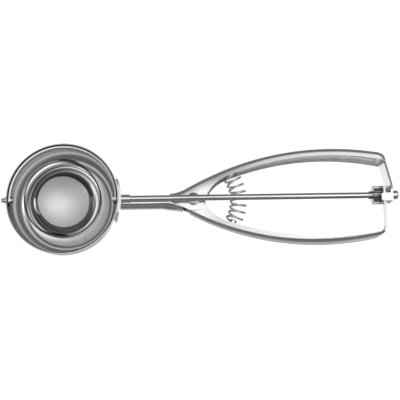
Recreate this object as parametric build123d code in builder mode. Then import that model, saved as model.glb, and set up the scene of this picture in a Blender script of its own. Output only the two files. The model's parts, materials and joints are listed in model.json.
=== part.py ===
from build123d import *
import os
from math import asin, atan2, cos, degrees, hypot, pi, radians, sin, sqrt, tan

# Lever ice cream scoop with a squeeze handle, in millimetres.
# The origin is the centre of the bowl's half ball, on the axis of the drive rod.
# +X runs along the rod to the end of the handle, +Y points to the fixed handle,
# and +Z points out of the bowl's mouth.

# ---------------------------------------------------------------- driving sizes

# bowl
bowl_radius = 31.5        # inside of the half ball
bowl_wall = 1.0
rim_height = 4.5          # straight wall above the rod's axis
rim_edge = 0.2            # broken edge of the rim

# saddle between bowl and stem
saddle_wall = 1.3
saddle_width = 25.2
saddle_low = -13.4
saddle_high = 3.0
saddle_corner = 6.0

# drive rod, front pin and their bushes
rod_diameter = 3.5
running_gap = 0.05        # radial clearance of everything that turns
bush_inset = 0.05         # bushes end this far behind the bowl's inner face
rear_bush_diameter = 4.9
rear_bush_reach = 4.8     # how far the bush stands out of the saddle
front_pin_diameter = 2.6
front_pin_reach = 3.4     # how far the pin stands out of the bowl
front_bush_diameter = 4.4
front_bush_reach = 1.1

# blade
blade_gap = 0.3           # between the blade and the bowl's wall
blade_sheet = 0.8
blade_width = 8.4
blade_overhang = 3.4      # blade beyond the rod's axis at each end
blade_end_round = 2.6
rear_hub_diameter = 5.2
rear_hub_length = 1.4
front_hub_diameter = 4.2
front_hub_length = 1.0
hub_proud = 0.3           # rod and pin stand this far out of their hubs

# pressed handle and lever
sheet = 1.3
pivot_x = 75.5
grip_radius = 160.0       # outer line of each grip
grip_crown_x = 150.0      # where the grips stand widest
grip_crown_y = 27.4
grip_front_y = 3.5        # outer line of the grips beside the stem
flange_depth = 4.2
bend_round = 2.3          # outside of the bends between web and flanges
hub_top = -3.4            # upper face of the fixed handle's ears
hub_depth = 13.0
hub_flat_x = 85.0         # the channels begin to deepen here
end_height_x = 179.6      # the heights of the end are measured here
end_top = 8.0
end_bottom = -10.4
profile_blend = 60.0
handle_front_x = 61.5
handle_ear_radius = 6.7
ear_tip_x = 59.0          # tip of the drop-shaped ears
ear_blend = 20.0
lever_ear_radius = 6.0
lever_front_x = 73.0
lever_gap = 0.15          # between the ears of the lever and of the handle

# stem
stem_half_width = 4.0
stem_middle_y = -0.8
stem_height = 7.2
stem_wall = 1.2
stem_round = 2.4
stem_neck_x = 57.0        # the stem begins to step in here
lap_x = 61.0              # the handle laps the stem from here
lap_spread = 0.6
stem_end_x = 69.0
stem_end_low_y = -6.2
stem_blend = 25.0         # hollow curve from the stem into the grip

# end arm with its eye and keeper tab
arm_top_x = 186.1         # outer face at the corner
arm_x = 189.1             # outer face at the eye
arm_straight_y = 5.0
arm_root_y = 20.0         # the arm narrows from here to the eye
eye_radius = 4.8
corner_round = 5.0
keeper_width = 4.5
keeper_offset_y = -2.9
keeper_reach = 6.6
keeper_gap = 0.3
keeper_round = 1.3

# gear and rack
gear_module = 0.6
pinion_teeth = 16
tooth_play = 0.1          # taken off each side of every tooth
mesh_gap = 0.1            # the rack stands this much further out
pressure_angle = 20.0
rack_end_x = 185.3        # outer face of the rack and of the lever's end
rack_foot_y = -22.0
rack_tip_y = 3.6
rack_top = 9.0
teeth_above = 1           # rack teeth above the rod at rest
teeth_below = 10          # rack teeth below it
pinion_start_x = 179.3
pinion_end_x = 187.2
boss_diameter = 4.6
boss_length = 2.3
boss_pin_diameter = 1.2

# end of the rod
end_bush_diameter = 5.0
end_bush_flange = 1.5
end_bush_flange_diameter = 6.0
end_bush_inner_reach = 0.3
end_play = 0.12
washer_diameter = 5.6
washer_thickness = 0.5
nut_diameter = 5.2
nut_length = 2.7
nut_edge = 0.5
rod_proud = 0.3
rod_edge = 0.3

# pivot of the lever
rivet_diameter = 5.0
rivet_head_diameter = 7.4
rivet_head_height = 1.1
rivet_head_edge = 0.6
spacer_diameter = 7.4
spacer_gap = 0.05

# spring
spring_wire = 1.3
spring_mean_diameter = 9.2
spring_arc_radius = 26.4
spring_turns = 7.9
spring_handle_angle = 34.3
spring_lever_angle = -30.1
points_per_turn = 10
stud_diameter = 4.4
stud_reach = 1.4          # how far each stud stands inside the coil
stud_edge = 0.5
wire_sides = 8            # the wire's section is kept plain
seat_gap = 0.03           # flat stud foot on the curved web

# ---------------------------------------------------------------- worked out

bowl_outside = bowl_radius + bowl_wall
saddle_outside = bowl_outside + saddle_wall
blade_outside = bowl_radius - blade_gap
blade_inside = blade_outside - blade_sheet
rod_radius = rod_diameter / 2
front_pin_radius = front_pin_diameter / 2
hub_bottom = hub_top - hub_depth
lever_hub_top = hub_top - sheet - lever_gap
lever_hub_bottom = hub_bottom + sheet + lever_gap
stem_top = hub_top - sheet
stem_low = stem_top - stem_height
stem_low_y = stem_middle_y - stem_half_width
stem_high_y = stem_middle_y + stem_half_width
grip_centre = (grip_crown_x, grip_crown_y - grip_radius)
pitch_radius = gear_module * pinion_teeth / 2
tooth_above_pitch = gear_module
tooth_below_pitch = 1.25 * gear_module
tooth_pitch = pi * gear_module
half_tooth = tooth_pitch / 4 - tooth_play
flank = tan(radians(pressure_angle))
tip_half = half_tooth - tooth_above_pitch * flank
root_half = half_tooth + tooth_below_pitch * flank
rack_radius = rack_end_x - sheet / 2 - pivot_x
rack_tooth_angle = degrees(tooth_pitch / rack_radius)
rack_pitch_z = pitch_radius + mesh_gap
rack_tip_z = rack_pitch_z - tooth_above_pitch
rack_root_z = rack_pitch_z + tooth_below_pitch
keeper_bottom = rack_top + keeper_gap
keeper_top = keeper_bottom + sheet
keeper_low_y = keeper_offset_y - keeper_width / 2
bush_face_x = arm_x + end_bush_flange
washer_start_x = bush_face_x + end_play
nut_start_x = washer_start_x + washer_thickness
rod_end_x = nut_start_x + nut_length + rod_proud
rod_start_x = blade_inside - rear_hub_length - hub_proud
pin_start_x = blade_inside - front_hub_length - hub_proud
far_away = 100.0          # longer than any cut needs to be
weld = 0.2                # teeth and roots run this far into each other


def grip_y(x):
    """Y of the grips' outer arc at a given X."""
    return grip_centre[1] + sqrt(grip_radius**2 - (x - grip_crown_x) ** 2)


def write(part, name):
    """Label one finished piece and write its STEP file."""
    part.label = name
    export_step(part, f"parts/{name}.step")


def tube(start_x, end_x, diameter, bore):
    """A tube, or a bar if the bore is 0, on the rod's axis."""
    with BuildPart() as body:
        with BuildSketch(Plane.YZ.offset(start_x)):
            Circle(diameter / 2)
            if bore:
                Circle(bore / 2, mode=Mode.SUBTRACT)
        extrude(amount=end_x - start_x, dir=(1, 0, 0))
    return body.part


os.makedirs("parts", exist_ok=True)

# ---------------------------------------------------------------- bowl

with BuildPart() as bowl:
    with BuildSketch(Plane.XZ):
        with BuildLine():
            CenterArc((0, 0), bowl_outside, -90, 90)
            Line((bowl_outside, 0), (bowl_outside, rim_height))
            Line((bowl_outside, rim_height), (bowl_radius, rim_height))
            Line((bowl_radius, rim_height), (bowl_radius, 0))
            CenterArc((0, 0), bowl_radius, 0, -90)
            Line((0, -bowl_radius), (0, -bowl_outside))
        make_face()
    revolve(axis=Axis.Z)
    chamfer(bowl.faces().sort_by(Axis.Z)[-1].edges(), rim_edge)
    with BuildSketch(Plane.YZ):
        Circle(rear_bush_diameter / 2)
    extrude(amount=far_away, mode=Mode.SUBTRACT)
    with BuildSketch(Plane.YZ):
        Circle(front_bush_diameter / 2)
    extrude(amount=-far_away, mode=Mode.SUBTRACT)
write(bowl.part, "bowl")

# A curved plate that follows the outside of the bowl and carries the stem.
with BuildPart() as bowl_saddle:
    Sphere(saddle_outside)
    Cylinder(saddle_outside, saddle_high, align=(Align.CENTER, Align.CENTER, Align.MIN))
    with BuildSketch(Plane.YZ):
        with Locations((0, (saddle_low + saddle_high) / 2)):
            RectangleRounded(saddle_width, saddle_high - saddle_low, saddle_corner)
    extrude(amount=far_away, mode=Mode.INTERSECT)
    Sphere(bowl_outside, mode=Mode.SUBTRACT)
    Cylinder(
        bowl_outside,
        rim_height,
        align=(Align.CENTER, Align.CENTER, Align.MIN),
        mode=Mode.SUBTRACT,
    )
    with BuildSketch(Plane.YZ):
        Circle(rear_bush_diameter / 2)
    extrude(amount=far_away, mode=Mode.SUBTRACT)
write(bowl_saddle.part, "bowl_saddle")

# ---------------------------------------------------------------- stem


def stem_section(x, low_y, high_y, low_z):
    """Rounded section of the stem across X."""
    with BuildSketch(Plane.YZ.offset(x)) as section:
        with Locations(((low_y + high_y) / 2, (low_z + stem_top) / 2)):
            RectangleRounded(high_y - low_y, stem_top - low_z, stem_round)
    return section.sketch


# A straight tube, pressed flat where the handle laps it and flared into the hub.
lap_y = grip_front_y - sheet
lap_section = stem_section(lap_x, stem_low_y - lap_spread, lap_y, stem_low - lap_spread)

with BuildPart() as stem:
    add(stem_section(0, stem_low_y, stem_high_y, stem_low))
    extrude(amount=stem_neck_x, dir=(1, 0, 0))
    with BuildSketch(Plane.YZ):
        with Locations((stem_middle_y, (stem_low + stem_top) / 2)):
            RectangleRounded(
                2 * (stem_half_width - stem_wall),
                stem_height - 2 * stem_wall,
                stem_round - stem_wall,
            )
    extrude(amount=stem_neck_x - stem_wall, mode=Mode.SUBTRACT)
    add(stem_section(stem_neck_x, stem_low_y, stem_high_y, stem_low))
    add(lap_section)
    loft(ruled=True)
    add(lap_section)
    add(stem_section(stem_end_x, stem_end_low_y, lap_y, hub_bottom + sheet))
    loft(ruled=True)
    Sphere(saddle_outside, mode=Mode.SUBTRACT)
write(stem.part, "stem")

# ---------------------------------------------------------------- pressed grips


def grip_outline(corner_x, low_x):
    """Everything inside a grip's outer line, seen along Z: stem, grip, corner, end."""
    start_x = handle_front_x - far_away / 5
    meet_x = grip_crown_x - sqrt(grip_radius**2 - (grip_front_y - grip_centre[1]) ** 2)
    corner_y = grip_y(corner_x)
    start_angle = degrees(atan2(grip_front_y - grip_centre[1], meet_x - grip_crown_x))
    end_angle = degrees(atan2(corner_y - grip_centre[1], corner_x - grip_crown_x))
    with BuildSketch() as outline:
        with BuildLine():
            Line((start_x, grip_front_y), (meet_x, grip_front_y))
            CenterArc(grip_centre, grip_radius, start_angle, end_angle - start_angle)
            Polyline(
                (corner_x, corner_y),
                (low_x, arm_straight_y),
                (low_x, -far_away),
                (start_x, -far_away),
                (start_x, grip_front_y),
            )
        make_face()
        fillet(outline.vertices().sort_by_distance((meet_x, grip_front_y))[0], stem_blend)
        fillet(outline.vertices().sort_by_distance((corner_x, corner_y))[0], corner_round)
    return outline.sketch


def strip(outline, depth, low_x, high_x, low_y, high_y=far_away):
    """A band of the given depth inside the outer line, cut to a window."""
    band = outline - offset(outline, amount=-depth, kind=Kind.INTERSECTION)
    with BuildSketch() as window:
        with Locations((low_x, low_y)):
            Rectangle(high_x - low_x, high_y - low_y, align=(Align.MIN, Align.MIN))
    return band & window.sketch


def side_profile(top, bottom, inset):
    """Side view of a channel: level at the hub, then deepening to the end."""
    slope_end_x = arm_x + far_away / 10
    share = (slope_end_x - hub_flat_x) / (end_height_x - hub_flat_x)
    far_top = top + (end_top - top) * share
    far_bottom = bottom + (end_bottom - bottom) * share
    front_x = ear_tip_x - far_away / 10
    with BuildSketch(Plane.XZ.offset(-far_away / 2)) as profile:
        with BuildLine():
            Polyline(
                (front_x, top - inset),
                (front_x, bottom + inset),
                (hub_flat_x, bottom + inset),
                (slope_end_x, far_bottom + inset),
                (slope_end_x, far_top - inset),
                (hub_flat_x, top - inset),
                close=True,
            )
        make_face()
        kinks = profile.vertices().filter_by(lambda corner: abs(corner.X - hub_flat_x) < 0.01)
        fillet(kinks, profile_blend)
    return profile.sketch


def profiled(plan, profile):
    """Solid with a given plan along Z and a given side view along Y."""
    with BuildPart() as body:
        add(Pos(0, 0, -far_away / 2) * plan)
        extrude(amount=far_away, dir=(0, 0, 1))
        add(profile)
        extrude(amount=far_away, dir=(0, -1, 0), mode=Mode.INTERSECT)
    return body.part


def on_outer_arc(edge):
    """True for the long outer edges of a grip's web."""
    point = edge.center()
    reach = hypot(point.X - grip_crown_x, point.Y - grip_centre[1])
    return abs(reach - grip_radius) < 0.3 and edge.length > grip_radius / 4


def grip_side(outline, front_x):
    """The part of a grip's plan behind its front and on its own side of the rod."""
    with BuildSketch() as side:
        add(outline)
        with Locations((front_x, 0)):
            Rectangle(
                2 * far_away, far_away, align=(Align.MIN, Align.MIN), mode=Mode.INTERSECT
            )
    return side.sketch


def flange_band(side):
    """Plan of a grip's flanges without their ears, up to the end corner."""
    with BuildSketch() as band:
        add(side)
        with Locations(grip_centre):
            Circle(grip_radius - flange_depth, mode=Mode.SUBTRACT)
    return band.sketch


def with_ear(band, ear_radius, tip_x=None):
    """A flange's band joined to its round ear at the pivot, the inner corner blended."""
    with BuildSketch() as plan:
        add(band)
        with Locations((pivot_x, 0)):
            Circle(ear_radius)
        if tip_x:
            lean = asin(ear_radius / (pivot_x - tip_x))
            touch_x = pivot_x - ear_radius * sin(lean)
            touch_y = ear_radius * cos(lean)
            with BuildLine():
                Polyline((tip_x, 0), (touch_x, -touch_y), (touch_x, touch_y), close=True)
            make_face()
        inner_corner = (pivot_x + ear_radius * cos(radians(30)), ear_radius / 2)
        fillet(plan.vertices().sort_by_distance(inner_corner)[0], ear_blend)
    return plan.sketch


def channel(side, web, flanges, edge, top, bottom):
    """Web and two flanges, bent from one sheet and open towards the rod."""
    with BuildPart() as body:
        add(profiled(side, side_profile(top, bottom, 0)))
        fillet(body.edges().filter_by(on_outer_arc), bend_round)
        add(Pos(0, 0, -far_away / 2) * flange_band(side))
        extrude(amount=far_away, dir=(0, 0, 1), mode=Mode.INTERSECT)
        add(profiled(flanges - edge, side_profile(top, bottom, 0)))
        add(profiled(flanges - web, side_profile(top, bottom, sheet)), mode=Mode.SUBTRACT)
    return body.part


# Fixed handle: web, flanges with ears, end arm with the rod's eye, keeper tab.
handle_outline = grip_outline(arm_top_x, arm_x)
handle_side = grip_side(handle_outline, handle_front_x)
handle_band = flange_band(handle_side)
handle_web = handle_band & strip(handle_outline, sheet, handle_front_x, 2 * far_away, 0)
handle_edge = strip(handle_outline, flange_depth - weld, handle_front_x, 2 * far_away, 0)
handle_flanges = with_ear(handle_band, handle_ear_radius, ear_tip_x) & handle_outline
end_arm_plan = strip(
    handle_outline, sheet, grip_crown_x, 2 * far_away, keeper_low_y, arm_root_y
)

with BuildPart() as end_arm:
    add(end_arm_plan)
    extrude(amount=far_away / 2, both=True)
    with BuildSketch(Plane.YZ):
        with BuildLine():
            Polyline(
                (arm_root_y, end_bottom + bend_round),
                (arm_root_y, end_top - bend_round),
                (keeper_offset_y + keeper_width, keeper_top),
                (keeper_low_y, keeper_top),
                (keeper_low_y, 0),
                (0, -eye_radius),
                (eye_radius, -eye_radius),
                close=True,
            )
        make_face()
        Circle(eye_radius)
    extrude(amount=2 * far_away, dir=(1, 0, 0), mode=Mode.INTERSECT)
    with BuildSketch(Plane.XY.offset(keeper_bottom)):
        with Locations((arm_x - keeper_reach, keeper_offset_y)):
            Rectangle(keeper_reach, keeper_width, align=(Align.MIN, Align.CENTER))
    extrude(amount=sheet)
    fillet(end_arm.edges().filter_by(Axis.Z).sort_by(Axis.X)[:2], keeper_round)

with BuildPart() as fixed_handle:
    add(channel(handle_side, handle_web, handle_flanges, handle_edge, hub_top, hub_bottom))
    add(end_arm.part)
    with BuildSketch(Plane.XY.offset(-far_away / 2)):
        with Locations((pivot_x, 0)):
            Circle(rivet_diameter / 2)
    extrude(amount=far_away, mode=Mode.SUBTRACT)
    with BuildSketch(Plane.YZ.offset(arm_x - 2 * sheet)):
        Circle(end_bush_diameter / 2)
    extrude(amount=far_away, mode=Mode.SUBTRACT)
write(fixed_handle.part, "fixed_handle")

# Lever: the handle's grip mirrored, with its ears between the handle's. Its end is
# open where the pinion passes, and its upper flange is notched for the rack.
lever_outline = grip_outline(rack_end_x, rack_end_x)
lever_side = grip_side(lever_outline, lever_front_x)
lever_band = flange_band(lever_side)
rack_strip = strip(
    lever_outline, sheet, grip_crown_x, 2 * far_away, -rack_tip_y, -rack_foot_y
)
lever_web = lever_band & strip(lever_outline, sheet, lever_front_x, 2 * far_away, 0)
lever_edge = strip(lever_outline, flange_depth - weld, lever_front_x, 2 * far_away, 0)
lever_flanges = with_ear(lever_band, lever_ear_radius) & lever_outline

with BuildPart() as lever_mirrored:
    add(
        channel(
            lever_side,
            lever_web - rack_strip,
            lever_flanges,
            lever_edge,
            lever_hub_top,
            lever_hub_bottom,
        )
    )
    add(Pos(0, 0, rack_tip_z) * rack_strip)
    extrude(amount=far_away, dir=(0, 0, 1), mode=Mode.SUBTRACT)
    with BuildSketch(Plane.XY.offset(-far_away / 2)):
        with Locations((pivot_x, 0)):
            Circle(rivet_diameter / 2 + running_gap)
    extrude(amount=far_away, mode=Mode.SUBTRACT)

with BuildPart() as lever:
    add(mirror(lever_mirrored.part, about=Plane.XZ))
write(lever.part, "lever")

# ---------------------------------------------------------------- rack and pinion


def rack_tooth(number):
    """One rack tooth, radial to the lever's pivot, numbered from the rod."""
    angle = radians(number * rack_tooth_angle)
    across = Plane(
        origin=(pivot_x, 0, 0),
        x_dir=(-sin(angle), cos(angle), 0),
        z_dir=(cos(angle), sin(angle), 0),
    )
    with BuildSketch(across) as tooth:
        with BuildLine():
            Polyline(
                (-tip_half, rack_tip_z),
                (tip_half, rack_tip_z),
                (root_half, rack_root_z),
                (root_half, rack_root_z + weld),
                (-root_half, rack_root_z + weld),
                (-root_half, rack_root_z),
                close=True,
            )
        make_face()
    return tooth.sketch


# The teeth stand at equal angles about the pivot, so the ratio stays constant.
with BuildPart() as rack:
    for number in range(-teeth_below, teeth_above + 1):
        add(rack_tooth(number))
    extrude(amount=2 * far_away, dir=(1, 0, 0))
    with BuildSketch(Plane.XY.offset(rack_root_z)):
        with Locations((grip_crown_x, rack_foot_y)):
            Rectangle(far_away, rack_tip_y - rack_foot_y, align=(Align.MIN, Align.MIN))
    extrude(amount=rack_top - rack_root_z)
    add(mirror(rack_strip, about=Plane.XZ))
    extrude(amount=far_away, both=True, mode=Mode.INTERSECT)
write(rack.part, "rack")

# A pinion tooth with its foot at the origin and its tip towards +X.
with BuildSketch() as pinion_tooth:
    with BuildLine():
        Polyline(
            (-weld, -root_half),
            (0, -root_half),
            (tooth_below_pitch + tooth_above_pitch, -tip_half),
            (tooth_below_pitch + tooth_above_pitch, tip_half),
            (0, root_half),
            (-weld, root_half),
            close=True,
        )
    make_face()

boss_middle_x = pinion_start_x - boss_length / 2

with BuildPart() as pinion:
    with BuildSketch(Plane.YZ.offset(pinion_start_x)):
        root_radius = pitch_radius - tooth_below_pitch
        Circle(root_radius)
        with PolarLocations(root_radius, pinion_teeth, start_angle=90 + 180 / pinion_teeth):
            add(pinion_tooth.sketch)
    extrude(amount=pinion_end_x - pinion_start_x)
    with BuildSketch(Plane.YZ.offset(pinion_start_x - boss_length)):
        Circle(boss_diameter / 2)
    extrude(amount=boss_length)
    with BuildSketch(Plane.YZ):
        Circle(rod_radius)
    extrude(amount=2 * far_away, mode=Mode.SUBTRACT)
    with BuildSketch(Plane.XY):
        with Locations((boss_middle_x, 0)):
            Circle(boss_pin_diameter / 2)
    extrude(amount=boss_diameter, both=True, mode=Mode.SUBTRACT)
write(pinion.part, "pinion")

with BuildPart() as pinion_pin:
    with BuildSketch(Plane.XY.offset(-boss_diameter / 2)):
        with Locations((boss_middle_x, 0)):
            Circle(boss_pin_diameter / 2)
    extrude(amount=boss_diameter)
    with BuildSketch(Plane.YZ):
        Circle(boss_diameter / 2)
    extrude(amount=2 * far_away, mode=Mode.INTERSECT)
write(pinion_pin.part, "pinion_pin")

# ---------------------------------------------------------------- rod and its ends

with BuildPart() as drive_rod:
    add(tube(rod_start_x, rod_end_x, rod_diameter, 0))
    chamfer(drive_rod.faces().sort_by(Axis.X)[-1].edges(), rod_edge)
    with BuildSketch(Plane.XY):
        with Locations((boss_middle_x, 0)):
            Circle(boss_pin_diameter / 2)
    extrude(amount=boss_diameter, both=True, mode=Mode.SUBTRACT)
write(drive_rod.part, "drive_rod")

with BuildPart() as end_washer:
    add(tube(washer_start_x, nut_start_x, washer_diameter, rod_diameter))
write(end_washer.part, "end_washer")

with BuildPart() as end_nut:
    add(tube(nut_start_x, nut_start_x + nut_length, nut_diameter, rod_diameter))
    chamfer(end_nut.edges().sort_by(Axis.X)[-2:].sort_by(SortBy.LENGTH)[-1], nut_edge)
write(end_nut.part, "end_nut")

rod_bore = rod_diameter + 2 * running_gap

with BuildPart() as end_bush:
    add(tube(arm_x - sheet - end_bush_inner_reach, arm_x, end_bush_diameter, rod_bore))
    add(tube(arm_x, bush_face_x, end_bush_flange_diameter, rod_bore))
write(end_bush.part, "end_bush")

with BuildPart() as rear_bush:
    add(
        tube(
            bowl_radius + bush_inset,
            saddle_outside + rear_bush_reach,
            rear_bush_diameter,
            rod_bore,
        )
    )
write(rear_bush.part, "rear_bush")

with BuildPart() as front_bush:
    add(
        tube(
            -bowl_outside - front_bush_reach,
            -bowl_radius - bush_inset,
            front_bush_diameter,
            front_pin_diameter + 2 * running_gap,
        )
    )
write(front_bush.part, "front_bush")

# ---------------------------------------------------------------- blade

blade_lead = degrees(blade_overhang / blade_outside)
blade_half_angle = degrees(blade_width / 2 / blade_outside)
blade_start = Plane(
    origin=(0, 0, 0),
    x_dir=(cos(radians(blade_lead)), -sin(radians(blade_lead)), 0),
    z_dir=(-sin(radians(blade_lead)), -cos(radians(blade_lead)), 0),
)

# A strip of a sphere from end to end of the bowl, lying along +Y at rest.
with BuildPart() as blade:
    with BuildSketch(blade_start):
        with BuildLine():
            outer = CenterArc((0, 0), blade_outside, -blade_half_angle, 2 * blade_half_angle)
            inner = CenterArc((0, 0), blade_inside, -blade_half_angle, 2 * blade_half_angle)
            Line(outer @ 0, inner @ 0)
            Line(outer @ 1, inner @ 1)
        make_face()
    revolve(axis=Axis.Z, revolution_arc=180 + 2 * blade_lead)
    corners = blade.edges().filter_by(lambda edge: abs(edge.length - blade_sheet) < 0.01)
    fillet(corners, blade_end_round)
    with BuildSketch(Plane.YZ):
        Circle(rod_radius)
    extrude(amount=far_away, mode=Mode.SUBTRACT)
    with BuildSketch(Plane.YZ):
        Circle(front_pin_radius)
    extrude(amount=-far_away, mode=Mode.SUBTRACT)
write(blade.part, "blade")

with BuildPart() as blade_rear_hub:
    add(tube(blade_inside - rear_hub_length, blade_inside, rear_hub_diameter, rod_diameter))
    Sphere(blade_inside, mode=Mode.INTERSECT)
write(blade_rear_hub.part, "blade_rear_hub")

with BuildPart() as blade_front_hub:
    add(
        tube(
            -blade_inside,
            front_hub_length - blade_inside,
            front_hub_diameter,
            front_pin_diameter,
        )
    )
    Sphere(blade_inside, mode=Mode.INTERSECT)
write(blade_front_hub.part, "blade_front_hub")

with BuildPart() as front_pin:
    add(tube(-bowl_outside - front_pin_reach, -pin_start_x, front_pin_diameter, 0))
    chamfer(front_pin.faces().sort_by(Axis.X)[0].edges(), rod_edge)
write(front_pin.part, "front_pin")

# ---------------------------------------------------------------- lever's pivot

with BuildPart() as hub_rivet:
    with BuildSketch(Plane.XY.offset(hub_bottom)):
        with Locations((pivot_x, 0)):
            Circle(rivet_diameter / 2)
    extrude(amount=hub_depth)
    with BuildSketch(Plane.XY.offset(hub_top)):
        with Locations((pivot_x, 0)):
            Circle(rivet_head_diameter / 2)
    extrude(amount=rivet_head_height)
    with BuildSketch(Plane.XY.offset(hub_bottom - rivet_head_height)):
        with Locations((pivot_x, 0)):
            Circle(rivet_head_diameter / 2)
    extrude(amount=rivet_head_height)
    chamfer(hub_rivet.edges().sort_by(Axis.Z)[0], rivet_head_edge)
    chamfer(hub_rivet.edges().sort_by(Axis.Z)[-1], rivet_head_edge)
write(hub_rivet.part, "hub_rivet")

with BuildPart() as hub_spacer:
    with BuildSketch(Plane.XY.offset(lever_hub_bottom + sheet + spacer_gap)):
        with Locations((pivot_x, 0)):
            Circle(spacer_diameter / 2)
            Circle(rivet_diameter / 2, mode=Mode.SUBTRACT)
    extrude(amount=lever_hub_top - lever_hub_bottom - 2 * sheet - 2 * spacer_gap)
write(hub_spacer.part, "hub_spacer")

# ---------------------------------------------------------------- spring


def spring_axis_point(angle):
    """Point of the spring's curved axis at an angle about the lever's pivot."""
    return (
        pivot_x + spring_arc_radius * cos(radians(angle)),
        spring_arc_radius * sin(radians(angle)),
    )


def channel_middle(x):
    """Height half way between the two flanges of the fixed handle."""
    share = (x - hub_flat_x) / (end_height_x - hub_flat_x)
    top = hub_top + (end_top - hub_top) * share
    bottom = hub_bottom + (end_bottom - hub_bottom) * share
    return (top + bottom) / 2


spring_z = channel_middle(spring_axis_point(spring_handle_angle)[0])


def spring_point(step):
    """Point of the wire's middle line after a number of equal steps."""
    turn = step / points_per_turn
    share = turn / spring_turns
    angle = spring_handle_angle + (spring_lever_angle - spring_handle_angle) * share
    reach = spring_arc_radius + spring_mean_diameter / 2 * cos(2 * pi * turn)
    height = spring_z + spring_mean_diameter / 2 * sin(2 * pi * turn)
    return (pivot_x + reach * cos(radians(angle)), reach * sin(radians(angle)), height)


steps = int(spring_turns * points_per_turn)

with BuildPart() as spring:
    with BuildLine():
        wire_line = Spline(*[spring_point(step) for step in range(steps + 1)])
    with BuildSketch(Plane(origin=wire_line @ 0, z_dir=wire_line % 0)):
        RegularPolygon(spring_wire / 2, wire_sides)
    sweep()
write(spring.part, "spring")


def stud(angle, side):
    """Round stud on a grip's web, reaching into one end of the spring."""
    end_x, end_y = spring_axis_point(angle)
    centre_y = side * grip_centre[1]
    distance = hypot(end_x - grip_crown_x, end_y - centre_y)
    out = Vector(end_x - grip_crown_x, end_y - centre_y, 0) / distance
    foot = Vector(grip_crown_x, centre_y, spring_z) + out * (grip_radius - sheet - seat_gap)
    length = grip_radius - sheet - seat_gap - distance + stud_reach
    with BuildPart() as body:
        with BuildSketch(Plane(origin=foot, z_dir=-out)):
            Circle(stud_diameter / 2)
        extrude(amount=length)
        tip = body.faces().sort_by(Axis.Y)[0 if side > 0 else -1]
        chamfer(tip.edges(), stud_edge)
    return body.part


with BuildPart() as spring_stud_fixed:
    add(stud(spring_handle_angle, 1))
write(spring_stud_fixed.part, "spring_stud_fixed")

with BuildPart() as spring_stud_lever:
    add(stud(spring_lever_angle, -1))
write(spring_stud_lever.part, "spring_stud_lever")
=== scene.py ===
import json
from math import cos, radians, sin, tau

import bmesh
import bpy
from mathutils import Matrix, Vector


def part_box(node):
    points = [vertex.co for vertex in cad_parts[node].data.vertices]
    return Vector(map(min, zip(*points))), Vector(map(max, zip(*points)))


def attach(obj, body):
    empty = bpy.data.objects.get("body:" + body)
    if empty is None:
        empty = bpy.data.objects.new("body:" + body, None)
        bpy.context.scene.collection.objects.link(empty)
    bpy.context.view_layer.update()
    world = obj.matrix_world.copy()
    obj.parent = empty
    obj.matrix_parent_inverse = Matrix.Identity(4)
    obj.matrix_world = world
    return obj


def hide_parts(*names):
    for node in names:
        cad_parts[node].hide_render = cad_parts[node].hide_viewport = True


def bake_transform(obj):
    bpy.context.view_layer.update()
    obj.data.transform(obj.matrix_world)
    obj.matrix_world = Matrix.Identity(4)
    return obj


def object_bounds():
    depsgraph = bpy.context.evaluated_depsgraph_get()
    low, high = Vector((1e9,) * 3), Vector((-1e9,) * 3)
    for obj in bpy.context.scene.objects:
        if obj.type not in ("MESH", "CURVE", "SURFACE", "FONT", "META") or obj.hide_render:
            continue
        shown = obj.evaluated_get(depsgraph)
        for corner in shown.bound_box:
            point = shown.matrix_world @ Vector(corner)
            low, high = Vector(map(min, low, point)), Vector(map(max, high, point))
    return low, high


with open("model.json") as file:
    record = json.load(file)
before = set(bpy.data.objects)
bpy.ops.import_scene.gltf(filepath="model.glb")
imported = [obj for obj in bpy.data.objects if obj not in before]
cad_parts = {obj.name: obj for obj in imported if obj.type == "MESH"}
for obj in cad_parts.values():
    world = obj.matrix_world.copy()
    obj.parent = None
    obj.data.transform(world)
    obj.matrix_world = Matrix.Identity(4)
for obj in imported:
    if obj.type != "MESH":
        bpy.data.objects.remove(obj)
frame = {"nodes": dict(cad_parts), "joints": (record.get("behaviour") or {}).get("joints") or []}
bpy.context.view_layer.update()
cad_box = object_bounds()

# Lever ice cream scoop: polished stainless steel on a white studio floor.
# Everything is in metres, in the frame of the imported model: +X along the rod to the
# end of the handle, +Y to the fixed handle, +Z out of the bowl's mouth.

MM = 0.001

# ---------------------------------------------------------------- photograph

PHOTO_SIDE = 400                 # pixels
PIXEL = 0.58 * MM                # size of a pixel on the rod's level
BOWL_PIXEL = (63.3, 199.6)       # where the bowl's centre lies in the picture
ROD_RISE = radians(0.82)         # the rod climbs to the right by this angle
CAMERA_ELEVATION = radians(79.0)
CAMERA_DISTANCE = 0.5
CAMERA_CLIP = (0.01, 100)
SENSOR = 36.0                    # millimetres, as Blender counts them


def add_camera():
    """Camera that sees the bowl's centre and the rod where the photograph has them."""
    level_right = Vector((1, 0, 0))
    level_up = Vector((0, sin(CAMERA_ELEVATION), cos(CAMERA_ELEVATION)))
    back = level_right.cross(level_up)
    right = level_right * cos(ROD_RISE) - level_up * sin(ROD_RISE)
    up = level_up * cos(ROD_RISE) + level_right * sin(ROD_RISE)
    across = (PHOTO_SIDE / 2 - BOWL_PIXEL[0]) * PIXEL
    above = (BOWL_PIXEL[1] - PHOTO_SIDE / 2) * PIXEL
    target = right * across + up * above
    target -= back * (target.z / back.z)
    data = bpy.data.cameras.new("photo_camera")
    data.sensor_width = SENSOR
    data.lens = SENSOR * CAMERA_DISTANCE / (PHOTO_SIDE * PIXEL)
    data.clip_start, data.clip_end = CAMERA_CLIP
    camera = bpy.data.objects.new("photo_camera", data)
    turn = Matrix((right, up, back)).transposed().to_4x4()
    camera.matrix_world = Matrix.Translation(target + back * CAMERA_DISTANCE) @ turn
    bpy.context.scene.collection.objects.link(camera)
    bpy.context.scene.camera = camera


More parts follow.
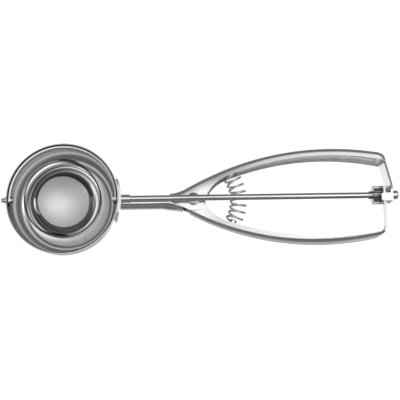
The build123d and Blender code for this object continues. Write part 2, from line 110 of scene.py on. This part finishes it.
# ---------------------------------------------------------------- nodes

PATCH_EDGE = (1.25, 0.8)         # a soft oval ends between these shares of its half widths


def grey(level):
    """Colour without a hue."""
    return (level, level, level, 1)


class Nodes:
    """Small helper that adds and links the nodes of one material or of the world."""

    def __init__(self, tree, coordinates):
        self.tree = tree
        self.place = tree.nodes.new("ShaderNodeTexCoord").outputs[coordinates]

    def link(self, source, target):
        self.tree.links.new(source, target)

    def value(self, target, source):
        """Sets an input to a number, or links it."""
        if isinstance(source, (int, float)):
            target.default_value = source
        else:
            self.link(source, target)

    def maths(self, operation, first, second=0.0, third=0.0):
        node = self.tree.nodes.new("ShaderNodeMath")
        node.operation = operation
        self.value(node.inputs[0], first)
        self.value(node.inputs[1], second)
        self.value(node.inputs[2], third)
        return node.outputs[0]

    def stretched(self, scale):
        """The place, scaled along each axis."""
        node = self.tree.nodes.new("ShaderNodeMapping")
        node.inputs["Scale"].default_value = scale
        self.link(self.place, node.inputs["Vector"])
        return node.outputs[0]

    def noise(self, scale, detail, stretch=(1, 1, 1)):
        node = self.tree.nodes.new("ShaderNodeTexNoise")
        node.inputs["Scale"].default_value = scale
        node.inputs["Detail"].default_value = detail
        self.link(self.stretched(stretch), node.inputs["Vector"])
        return node.outputs["Fac"]

    def between(self, source, low, high, low_in, high_in, kind="LINEAR"):
        """Level from low to high, while the source goes from low_in to high_in."""
        node = self.tree.nodes.new("ShaderNodeMapRange")
        node.interpolation_type = kind
        self.value(node.inputs["Value"], source)
        self.value(node.inputs["From Min"], low_in)
        self.value(node.inputs["From Max"], high_in)
        self.value(node.inputs["To Min"], low)
        self.value(node.inputs["To Max"], high)
        return node.outputs["Result"]

    def mix(self, share, low, high):
        """Level from low to high, by a share from 0 to 1."""
        return self.between(share, low, high, 0, 1)

    def step(self, source, start, end):
        """Smooth step from 0 to 1."""
        return self.between(source, 0.0, 1.0, start, end, "SMOOTHSTEP")

    def levels(self, source, stops):
        """Value that follows the stops, each of a place from 0 to 1 and a level."""
        node = self.tree.nodes.new("ShaderNodeValToRGB")
        elements = node.color_ramp.elements
        while len(elements) < len(stops):
            elements.new(0.5)    # it gets its own place below
        for element, (place, level) in zip(elements, stops):
            element.position = place
            element.color = grey(level)
        self.link(source, node.inputs["Fac"])
        return node.outputs["Color"]

    def patch(self, x, y, middle_x, middle_y, half_x, half_y):
        """1 inside a soft-edged oval, 0 outside."""
        away = self.reach(
            self.maths("DIVIDE", self.maths("SUBTRACT", x, middle_x), half_x),
            self.maths("DIVIDE", self.maths("SUBTRACT", y, middle_y), half_y),
        )
        return self.step(away, *PATCH_EDGE)

    def parts(self):
        """The place's three coordinates."""
        node = self.tree.nodes.new("ShaderNodeSeparateXYZ")
        self.link(self.place, node.inputs[0])
        return node.outputs

    def reach(self, first, second):
        """Distance from an axis, from the two coordinates across it."""
        squares = self.maths("MULTIPLY_ADD", first, first, self.maths("MULTIPLY", second, second))
        return self.maths("SQRT", squares)

    def reach_from(self, middle, x, y):
        """Distance from an upright axis through a middle."""
        return self.reach(
            self.maths("SUBTRACT", x, middle[0]), self.maths("SUBTRACT", y, middle[1])
        )


class Metal(Nodes):
    """Nodes of one metal material."""

    def __init__(self, name):
        self.material = bpy.data.materials.new(name)
        self.material.use_nodes = True
        super().__init__(self.material.node_tree, "Object")
        self.shader = self.tree.nodes["Principled BSDF"]

    def colour(self, source, dark, light):
        """Grey between two tones."""
        node = self.tree.nodes.new("ShaderNodeMix")
        node.data_type = "RGBA"
        self.value(node.inputs["Factor"], source)
        node.inputs["A"].default_value = grey(dark)
        node.inputs["B"].default_value = grey(light)
        self.link(node.outputs["Result"], self.shader.inputs["Base Color"])

    def bump(self, height):
        """Relief from a height in metres."""
        node = self.tree.nodes.new("ShaderNodeBump")
        node.inputs["Strength"].default_value = 1.0
        node.inputs["Distance"].default_value = 1.0
        self.value(node.inputs["Height"], height)
        self.link(node.outputs[0], self.shader.inputs["Normal"])


# ---------------------------------------------------------------- studio

# Light by height in the room: -1 is straight down, 0 the horizon, 1 overhead.
ROOM = (
    (-1.0, 1.15), (-0.90, 1.10), (-0.82, 0.38), (-0.7, 0.24), (0.0, 0.24), (0.3, 0.19),
    (0.6, 0.14), (1.0, 0.15),
)
BELOW_TOP = (-0.85, -0.75)       # the light from below ends between these heights
BELOW_FRONT = (-0.15, 0.10)      # it gets weaker between these places, towards the front
BELOW_SHARE = 0.42               # what is left of it at the front
# Large soft lamp overhead. Its places are shares of its height over the scoop, and its
# light goes by the distance from its middle.
LAMP_HEIGHT = 0.6
LAMP_SPREAD = 1.6
LAMP_MIDDLE = (0.37, -0.10)
LAMP_LEVEL = 1.38
LAMP = (
    (0.0, 1.46), (0.2, 1.27), (0.3, 1.08), (0.45, 0.87), (0.55, 0.74), (0.65, 0.57),
    (0.85, 0.35), (1.0, 0.22), (1.3, 0.12),
)
RAMP_TOP = 2                     # a colour ramp ends at 1, so it holds the levels over this
LAMP_FRONT = (-0.64, -0.38)      # the lamp ends between these places
# The camera and the arm that holds it, dark in front of the lamp: middle and half widths.
CAMERA_SHADES = ((0.225, -0.20, 0.085, 0.085), (0.13, -0.45, 0.065, 0.22))
SHADE_LEVEL = 0.06
# Brighter patches to the left and right, in the same way, and what they add.
SIDE_LAMPS = ((-0.97, -0.50, 0.15, 0.36), (0.97, 0.0, 0.12, 0.24))
SIDE_LEVEL = 2.2
STUDIO_REACH = 6.0               # metres to the walls
FLOOR_GAP = 0.2 * MM             # between the bowl and the floor
PAPER_TONE = 0.25
PAPER_ROUGH = 0.9
BOUNCES = 24                     # rays go back and forth inside the polished bowl


def add_world():
    """A dim room with light from the floor below."""
    world = bpy.data.worlds.new("studio")
    world.use_nodes = True
    w = Nodes(world.node_tree, "Generated")
    _, y, z = w.parts()
    room = w.levels(w.between(z, 0, 1, -1, 1), [((place + 1) / 2, level) for place, level in ROOM])
    front = w.between(y, BELOW_SHARE, 1.0, *BELOW_FRONT, "SMOOTHSTEP")
    light = w.maths("MULTIPLY", room, w.maths("MAXIMUM", front, w.step(z, *BELOW_TOP)))
    w.link(light, w.tree.nodes["Background"].inputs["Strength"])
    w.tree.nodes["Background"].inputs["Color"].default_value = grey(1)
    bpy.context.scene.world = world


def studio_piece(name, mesh):
    """Object of the studio, linked to the scene."""
    piece = bpy.data.objects.new(name, mesh)
    bpy.context.scene.collection.objects.link(piece)
    return piece


def plane(name, reach, level):
    """Level square round the origin."""
    mesh = bpy.data.meshes.new(name)
    corners = [(x * reach, y * reach, level) for x, y in ((-1, -1), (1, -1), (1, 1), (-1, 1))]
    mesh.from_pydata(corners, [], [(0, 1, 2, 3)])
    return studio_piece(name, mesh)


def white_paper(name):
    """Material of an evenly lit white surface."""
    material = bpy.data.materials.new(name)
    material.use_nodes = True
    shader = material.node_tree.nodes["Principled BSDF"]
    shader.inputs["Base Color"].default_value = grey(PAPER_TONE)
    shader.inputs["Roughness"].default_value = PAPER_ROUGH
    shader.inputs["Specular IOR Level"].default_value = 0.0
    shader.inputs["Emission Color"].default_value = grey(1)
    shader.inputs["Emission Strength"].default_value = 1.0
    return material


def add_lamp():
    """The large soft lamp, brightest in its middle, with the camera dark in front of it."""
    lamp = plane("soft_lamp", LAMP_HEIGHT * LAMP_SPREAD, LAMP_HEIGHT)
    lamp.visible_camera = False
    material = bpy.data.materials.new("soft_lamp")
    material.use_nodes = True
    material.node_tree.nodes.clear()
    w = Nodes(material.node_tree, "Object")
    x, y, _ = w.parts()
    x, y = w.maths("DIVIDE", x, LAMP_HEIGHT), w.maths("DIVIDE", y, LAMP_HEIGHT)
    last = LAMP[-1][0]
    away = w.maths("DIVIDE", w.reach_from(LAMP_MIDDLE, x, y), last)
    light = w.levels(away, [(place / last, level / RAMP_TOP) for place, level in LAMP])
    light = w.maths("MULTIPLY", light, RAMP_TOP * LAMP_LEVEL)
    room = ROOM[-1][1]
    light = w.maths("MAXIMUM", w.maths("MULTIPLY", light, w.step(y, *LAMP_FRONT)), room)
    for place in CAMERA_SHADES:
        light = w.mix(w.patch(x, y, *place), light, SHADE_LEVEL)
    for place in SIDE_LAMPS:
        light = w.maths("MULTIPLY_ADD", w.patch(x, y, *place), SIDE_LEVEL, light)
    glow = w.tree.nodes.new("ShaderNodeEmission")
    w.link(light, glow.inputs["Strength"])
    out = w.tree.nodes.new("ShaderNodeOutputMaterial")
    w.link(glow.outputs[0], out.inputs["Surface"])
    lamp.data.materials.append(material)


def add_floor():
    """Plain white floor just under the bowl, which the polished steel doesn't mirror."""
    floor = plane("floor", STUDIO_REACH, cad_box[0].z - FLOOR_GAP)
    floor.visible_glossy = False
    floor.data.materials.append(white_paper("white_floor"))


def add_backdrop():
    """White walls for the views from the side, which give the scoop no light."""
    box = bmesh.new()
    bmesh.ops.create_cube(box, size=2 * STUDIO_REACH)
    mesh = bpy.data.meshes.new("backdrop")
    box.to_mesh(mesh)
    box.free()
    walls = studio_piece("backdrop", mesh)
    walls.visible_glossy = walls.visible_diffuse = walls.visible_shadow = False
    walls.data.materials.append(white_paper("white_walls"))


# ---------------------------------------------------------------- materials

NOISE_RANGE = (0.3, 0.7)         # noise seldom goes past these values
# Noises: scale, detail, and how much of the scale is left along each axis.
SMUDGES = (90, 4)
SPUN_CLOUDS = (60, 2)
HAIRLINES = (700, 2, (0.04, 1, 1))
TURNED_RINGS = (1200, 2, (1, 0.05, 0.05))
GRAIN = (1500, 3)
HAIR_SHARE = 0.35                # of the fine marks in the tone, the rest is smudges
SPUN_PITCH = 0.35 * MM
SPUN_SHARE = 0.2                 # of the spun rings beside their clouds
FINE = 0.002 * MM                # depth of the finest marks


def steel(name, tones, gloss, lines, depth, form=None, finish=None, metallic=1.0):
    """Stainless steel: cloudy tone, smudged gloss, fine marks of its making, soft form.

    The tones are the darkest and the lightest, and gloss is the least and the most roughness.
    """
    m = Metal(name)
    m.shader.inputs["Metallic"].default_value = metallic
    smudges = m.noise(*SMUDGES)
    hairs = lines(m)
    rest = m.maths("MULTIPLY", smudges, 1 - HAIR_SHARE)
    tone = m.between(m.maths("MULTIPLY_ADD", hairs, HAIR_SHARE, rest), 0, 1, *NOISE_RANGE)
    roughness = m.between(smudges, *gloss, *NOISE_RANGE)
    # The finish may also paint shade and light into the tone, as the bowl's does.
    if finish:
        tone, roughness = finish(m, tone, roughness)
    m.colour(tone, *tones)
    m.link(roughness, m.shader.inputs["Roughness"])
    height = m.maths("MULTIPLY", hairs, depth)
    if form:
        height = m.maths("ADD", height, form(m))
    m.bump(height)
    return m.material


def spun_lines(m):
    """Rings round the bowl's axis, left by spinning and polishing."""
    x, y, _ = m.parts()
    rings = m.maths("SINE", m.maths("MULTIPLY", m.reach(x, y), tau / SPUN_PITCH))
    return m.maths("MULTIPLY_ADD", rings, SPUN_SHARE, m.noise(*SPUN_CLOUDS))


def long_lines(m):
    """Hairlines along the handle."""
    return m.noise(*HAIRLINES)


def turned_lines(m):
    """Rings round the rod, left by turning."""
    return m.noise(*TURNED_RINGS)


def fine_grain(m):
    """Short scratches in every direction."""
    return m.noise(*GRAIN)


INNER_FACE = (32.1 * MM, 31.9 * MM)     # the sheet's middle lies between its two faces
OUTER_TONE = 0.8
# The bowl's inner face is painted darker than its outer face, as painted shade.
INNER_PAINTED_SHADE_TONE = 0.5
CLOUD_TONE = 0.1                 # what the clouds and marks add to either
# A rougher, less metallic brushed disc at the bottom of the bowl, which is also painted lighter,
# as painted light.
SATIN_AND_PAINTED_LIGHT_MIDDLE = (-4.2 * MM, 4 * MM)
SATIN_AND_PAINTED_LIGHT_EDGE = (15.7 * MM, 15.0 * MM)     # the satin disc ends between these radii
SATIN_PAINTED_LIGHT_TONE = 0.5
SATIN_ROUGH = 0.44
SATIN_METALLIC = 0.65
# Light and dark rings near the rim, painted into the tone as painted reflections.
RINGS_PAINTED_TONE = 1.1
RING_PITCH = 3.4 * MM
RING_PLACE = 26.8 * MM           # radius of one light ring
RINGS_FROM = (24.2 * MM, 25.4 * MM)     # the rings begin between these radii
RING_SINK = 0.35                 # taken from all of them, so that dark ones prevail
FINE_RINGS = 3.0                 # finer rings to each ring
FINE_RINGS_PAINTED_TONE = 0.4


def spun_finish_and_painted_light(m, tone, roughness):
    """Inside, the bowl is painted darker, as shade; at the bottom it is brushed rougher and less
    metallic and painted lighter, as painted light; near the rim it has light and dark rings
    painted as reflections.
    """
    x, y, z = m.parts()
    from_axis = m.reach(x, y)
    inside = m.step(m.reach(from_axis, m.maths("MINIMUM", z, 0.0)), *INNER_FACE)
    satin_and_painted_light = m.maths("MULTIPLY", m.step(m.reach_from(SATIN_AND_PAINTED_LIGHT_MIDDLE, x, y), *SATIN_AND_PAINTED_LIGHT_EDGE), inside)
    m.link(m.mix(satin_and_painted_light, 1.0, SATIN_METALLIC), m.shader.inputs["Metallic"])
    # Painted shade: the inner face gets the darker tone.
    tone = m.maths("MULTIPLY_ADD", tone, CLOUD_TONE, m.mix(inside, OUTER_TONE, INNER_PAINTED_SHADE_TONE))
    # Painted light: the brushed disc is made lighter in tone.
    tone = m.maths("MULTIPLY_ADD", satin_and_painted_light, SATIN_PAINTED_LIGHT_TONE, tone)
    # Painted reflections: light and dark rings on the inner face.
    rings = m.maths("MULTIPLY", painted_reflection_rings(m, from_axis), inside)
    tone = m.maths("MULTIPLY_ADD", rings, RINGS_PAINTED_TONE, tone)
    return tone, m.maths("MULTIPLY_ADD", satin_and_painted_light, SATIN_ROUGH, roughness)


def painted_reflection_rings(m, from_axis):
    """Lighter and darker rings near the rim, painted as reflections."""
    turns = m.maths("MULTIPLY", m.maths("SUBTRACT", from_axis, RING_PLACE), tau / RING_PITCH)
    fine = m.maths("COSINE", m.maths("MULTIPLY", turns, FINE_RINGS))
    fine = m.maths("SUBTRACT", m.maths("MULTIPLY", fine, FINE_RINGS_PAINTED_TONE), RING_SINK)
    rings = m.maths("ADD", m.maths("COSINE", turns), fine)
    return m.maths("MULTIPLY", rings, m.step(from_axis, *RINGS_FROM))


GRIP_CENTRE = (150 * MM, -132.6 * MM)   # of the outer line of the fixed handle
SOFT_BEND_FROM = 154 * MM        # the near flange begins to fall here
SOFT_BEND_CURVE = (9.0, 22.0)    # per metre, along the handle and beside the hub
SOFT_BEND_HUB = (125 * MM, 85 * MM)     # from the one curve to the other
NEAR_FLANGE = (-7 * MM, -5 * MM)        # the far flange lies below these heights


def soft_bend(m):
    """Shading of the fixed handle's near flange, which falls softly into its outer bend."""
    x, y, z = m.parts()
    reach = m.reach_from(GRIP_CENTRE, x, y)
    past = m.maths("MAXIMUM", m.maths("SUBTRACT", reach, SOFT_BEND_FROM), 0.0)
    curve = m.mix(m.step(x, *SOFT_BEND_HUB), *SOFT_BEND_CURVE)
    fall = m.maths("MULTIPLY", m.maths("MULTIPLY", past, past), m.maths("MULTIPLY", curve, -1.0))
    return m.maths("MULTIPLY", fall, m.step(z, *NEAR_FLANGE))


STEM_MIDDLE = -0.8 * MM
STEM_CURVE = 137.0               # per metre
STEM_FLARE = (70 * MM, 60 * MM)  # the rounding ends between these places


def rounded_stem(m):
    """Shading of the stem's upper side, drawn round, which runs flat into the flare."""
    x, y, _ = m.parts()
    off = m.maths("SUBTRACT", y, STEM_MIDDLE)
    height = m.maths("MULTIPLY", m.maths("MULTIPLY", off, off), -STEM_CURVE)
    return m.maths("MULTIPLY", height, m.step(x, *STEM_FLARE))


def wear(material, *nodes):
    """Gives CAD nodes' objects their material."""
    for name in nodes:
        mesh = frame["nodes"][name].data
        mesh.materials.clear()
        mesh.materials.append(material)


bowl_steel = steel(
    "spun_bowl_steel", (0.22, 0.97), (0.035, 0.07), spun_lines, 0.2 * FINE, finish=spun_finish_and_painted_light,
)
blade_steel = steel("polished_blade_steel", (0.67, 0.73), (0.035, 0.07), spun_lines, 0.2 * FINE)
rack_steel = steel("cut_rack_steel", (0.50, 0.60), (0.10, 0.18), long_lines, FINE)
saddle_steel = steel(
    "brushed_saddle_steel", (0.90, 0.96), (0.10, 0.18), fine_grain, FINE, metallic=0.5,
)
grip_steel = steel("pressed_grip_steel", (0.70, 0.76), (0.18, 0.26), long_lines, FINE)
handle_steel = steel(
    "pressed_handle_steel", (0.72, 0.78), (0.18, 0.26), long_lines, FINE, form=soft_bend,
)
stem_steel = steel(
    "drawn_stem_steel", (0.74, 0.80), (0.07, 0.14), long_lines, FINE, form=rounded_stem,
)
bar_steel = steel("turned_polished_steel", (0.66, 0.73), (0.12, 0.20), turned_lines, FINE)
rivet_steel = steel("domed_rivet_steel", (0.40, 0.50), (0.24, 0.32), fine_grain, FINE)
wire_steel = steel(
    "drawn_spring_wire", (0.85, 0.92), (0.30, 0.40), fine_grain, FINE, metallic=0.75,
)
gear_steel = steel("cut_gear_steel", (0.42, 0.55), (0.2, 0.34), fine_grain, 2 * FINE)

wear(bowl_steel, "bowl")
wear(blade_steel, "blade")
wear(rack_steel, "rack")
wear(saddle_steel, "bowl_saddle")
wear(grip_steel, "lever")
wear(handle_steel, "fixed_handle")
wear(stem_steel, "stem")
wear(
    bar_steel, "drive_rod", "rear_bush", "front_bush", "end_bush", "end_washer", "end_nut",
    "front_pin", "blade_rear_hub", "blade_front_hub", "hub_spacer", "spring_stud_fixed",
    "spring_stud_lever",
)
wear(gear_steel, "pinion", "pinion_pin")

# ---------------------------------------------------------------- meshes


def new_piece(name, shape, material, body=None):
    """Object for a bmesh, smooth, riding on a body if one is given."""
    mesh = bpy.data.meshes.new(name)
    shape.to_mesh(mesh)
    shape.free()
    for face in mesh.polygons:
        face.use_smooth = True
    mesh.materials.append(material)
    piece = bpy.data.objects.new(name, mesh)
    bpy.context.scene.collection.objects.link(piece)
    if body:
        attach(piece, body)
    return piece


def new_ring(shape, middle, side, other, radius, sides):
    """Corners round a middle, in the plane of two directions, or one where it has no radius."""
    turns = [tau * k / sides for k in range(sides if radius else 1)]
    return [
        shape.verts.new(middle + (side * cos(turn) + other * sin(turn)) * radius) for turn in turns
    ]


def skin(shape, rings):
    """Faces from ring to ring, all turned outward."""
    for ring, following in zip(rings, rings[1:]):
        for k in range(max(len(ring), len(following))):
            corners = [
                corner[(k - back) % len(corner)]
                for corner, back in ((ring, 0), (ring, 1), (following, 1), (following, 0))
            ]
            shape.faces.new(list(dict.fromkeys(corners)))
    bmesh.ops.recalc_face_normals(shape, faces=shape.faces)


def tube(points, radius, sides):
    """Closed tube along a smooth line of points, with flat ends."""
    shape = bmesh.new()
    rings = []
    side = (points[1] - points[0]).orthogonal().normalized()
    for i, point in enumerate(points):
        before, after = points[max(i - 1, 0)], points[min(i + 1, len(points) - 1)]
        along = (after - before).normalized()
        side = (side - along * side.dot(along)).normalized()
        rings.append(new_ring(shape, point, side, along.cross(side), radius, sides))
    shape.faces.new(rings[0][::-1])
    shape.faces.new(rings[-1])
    skin(shape, rings)
    return shape


def turned(middle, profile, sides):
    """Closed solid turned round an upright axis, from radii and heights, upward."""
    shape = bmesh.new()
    side, other = Vector((1, 0, 0)), Vector((0, 1, 0))
    skin(shape, [
        new_ring(shape, middle + Vector((0, 0, height)), side, other, radius, sides)
        for radius, height in profile
    ])
    return shape


# ---------------------------------------------------------------- rivet

RIVET_SHANK = 2.5 * MM
RIVET_HEAD = 1.1 * MM            # height of a head
DOME_CURVE = 55.0                # per metre
DOME_STEPS = 14
RIVET_SIDES = 72
RIVET_SHARP = radians(40)        # bends sharper than this stay edges

rivet_low, rivet_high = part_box("hub_rivet")
rivet_radius = (rivet_high.x - rivet_low.x) / 2
rivet_half = (rivet_high.z - rivet_low.z) / 2
dome_radii = [rivet_radius * i / DOME_STEPS for i in range(DOME_STEPS + 1)]
rivet_top = [(radius, rivet_half - DOME_CURVE * radius ** 2) for radius in dome_radii]
rivet_top += [(radius, rivet_half - RIVET_HEAD) for radius in (rivet_radius, RIVET_SHANK)]
rivet_profile = [(radius, -height) for radius, height in rivet_top] + rivet_top[::-1]
rivet_shape = turned((rivet_low + rivet_high) / 2, rivet_profile, RIVET_SIDES)
rivet = new_piece("domed_hub_rivet", rivet_shape, rivet_steel, "frame")
rivet.data.set_sharp_from_angle(angle=RIVET_SHARP)
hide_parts("hub_rivet")

# ---------------------------------------------------------------- spring

# The spring's middle line lies on an arc round the lever's hinge.
SPRING_ARC = 26.4 * MM
SPRING_START = radians(34.3)
SPRING_END = radians(-30.1)
SPRING_TURNS = 7.9
SPRING_MEAN = 9.2 * MM           # mean diameter of the coils
SPRING_WIRE = 1.3 * MM
STEPS_PER_TURN = 40
WIRE_SIDES = 14

pivot = Vector(next(j["pos_m"] for j in frame["joints"] if j["name"] == "lever_squeeze"))
spring_low, spring_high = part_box("spring")
spring_z = (spring_low.z + spring_high.z) / 2


def spring_point(turn):
    """Point of the wire's middle line after a number of turns from the fixed handle."""
    angle = SPRING_START + (SPRING_END - SPRING_START) * turn / SPRING_TURNS
    reach = SPRING_ARC + SPRING_MEAN / 2 * cos(tau * turn)
    height = spring_z + SPRING_MEAN / 2 * sin(tau * turn)
    return Vector((pivot.x + reach * cos(angle), reach * sin(angle), height))


steps = int(SPRING_TURNS * STEPS_PER_TURN)
wire_line = [spring_point(i / STEPS_PER_TURN) for i in range(steps + 1)]
wire = tube(wire_line, SPRING_WIRE / 2, WIRE_SIDES)
coil = new_piece("spring_coil", wire, wire_steel)
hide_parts("spring")
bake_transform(coil)

# ---------------------------------------------------------------- finish

add_camera()
add_world()
add_lamp()
add_floor()
add_backdrop()
bpy.context.scene.cycles.max_bounces = BOUNCES
bpy.context.scene.cycles.glossy_bounces = BOUNCES
bpy.context.scene.view_settings.view_transform = "Standard"
bpy.context.scene.view_settings.look = "None"
